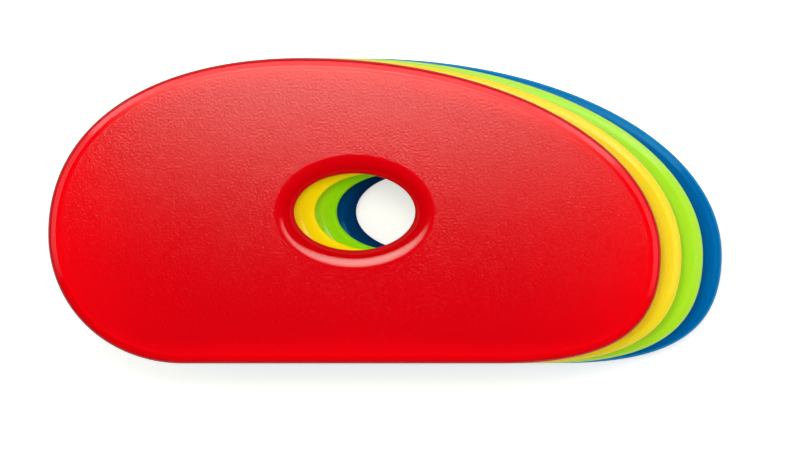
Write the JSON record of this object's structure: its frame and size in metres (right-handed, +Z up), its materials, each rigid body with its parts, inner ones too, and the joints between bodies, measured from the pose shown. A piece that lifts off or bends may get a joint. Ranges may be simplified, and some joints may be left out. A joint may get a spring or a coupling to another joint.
{
  "type": "pottery rib set",
  "caption": "Flexible half-moon pottery ribs with an oval finger hole each, lying flat on one another in a stack that is fanned to one side.",
  "frame": {"origin": "under the middle of the whole fanned stack, on the plane that it rests on", "axes": "+X along the ribs, from the broad heel to the narrow tip and the way the fan opens; +Y from the flat edge to the curved crest; +Z up through the stack"},
  "size_m": [0.1678, 0.076, 0.02],
  "materials": {
    "blue": "satin, fine moulded grain",
    "green": "satin, fine moulded grain",
    "yellow": "satin, fine moulded grain",
    "red": "satin, fine moulded grain"
  },
  "bodies": {
    "blue_rib": {"blue_rib": "blue"},
    "green_rib": {"green_rib": "green"},
    "yellow_rib": {"yellow_rib": "yellow"},
    "red_rib": {"red_rib": "red"}
  },
  "joints": [
    {"name": "green_rib_lift", "type": "slide", "parent": "blue_rib", "child": "green_rib", "axis": [0, 0, 1], "range_m": [0, 0.04]},
    {"name": "yellow_rib_lift", "type": "slide", "parent": "green_rib", "child": "yellow_rib", "axis": [0, 0, 1], "range_m": [0, 0.04]},
    {"name": "red_rib_lift", "type": "slide", "parent": "yellow_rib", "child": "red_rib", "axis": [0, 0, 1], "range_m": [0, 0.04]}
  ]
}
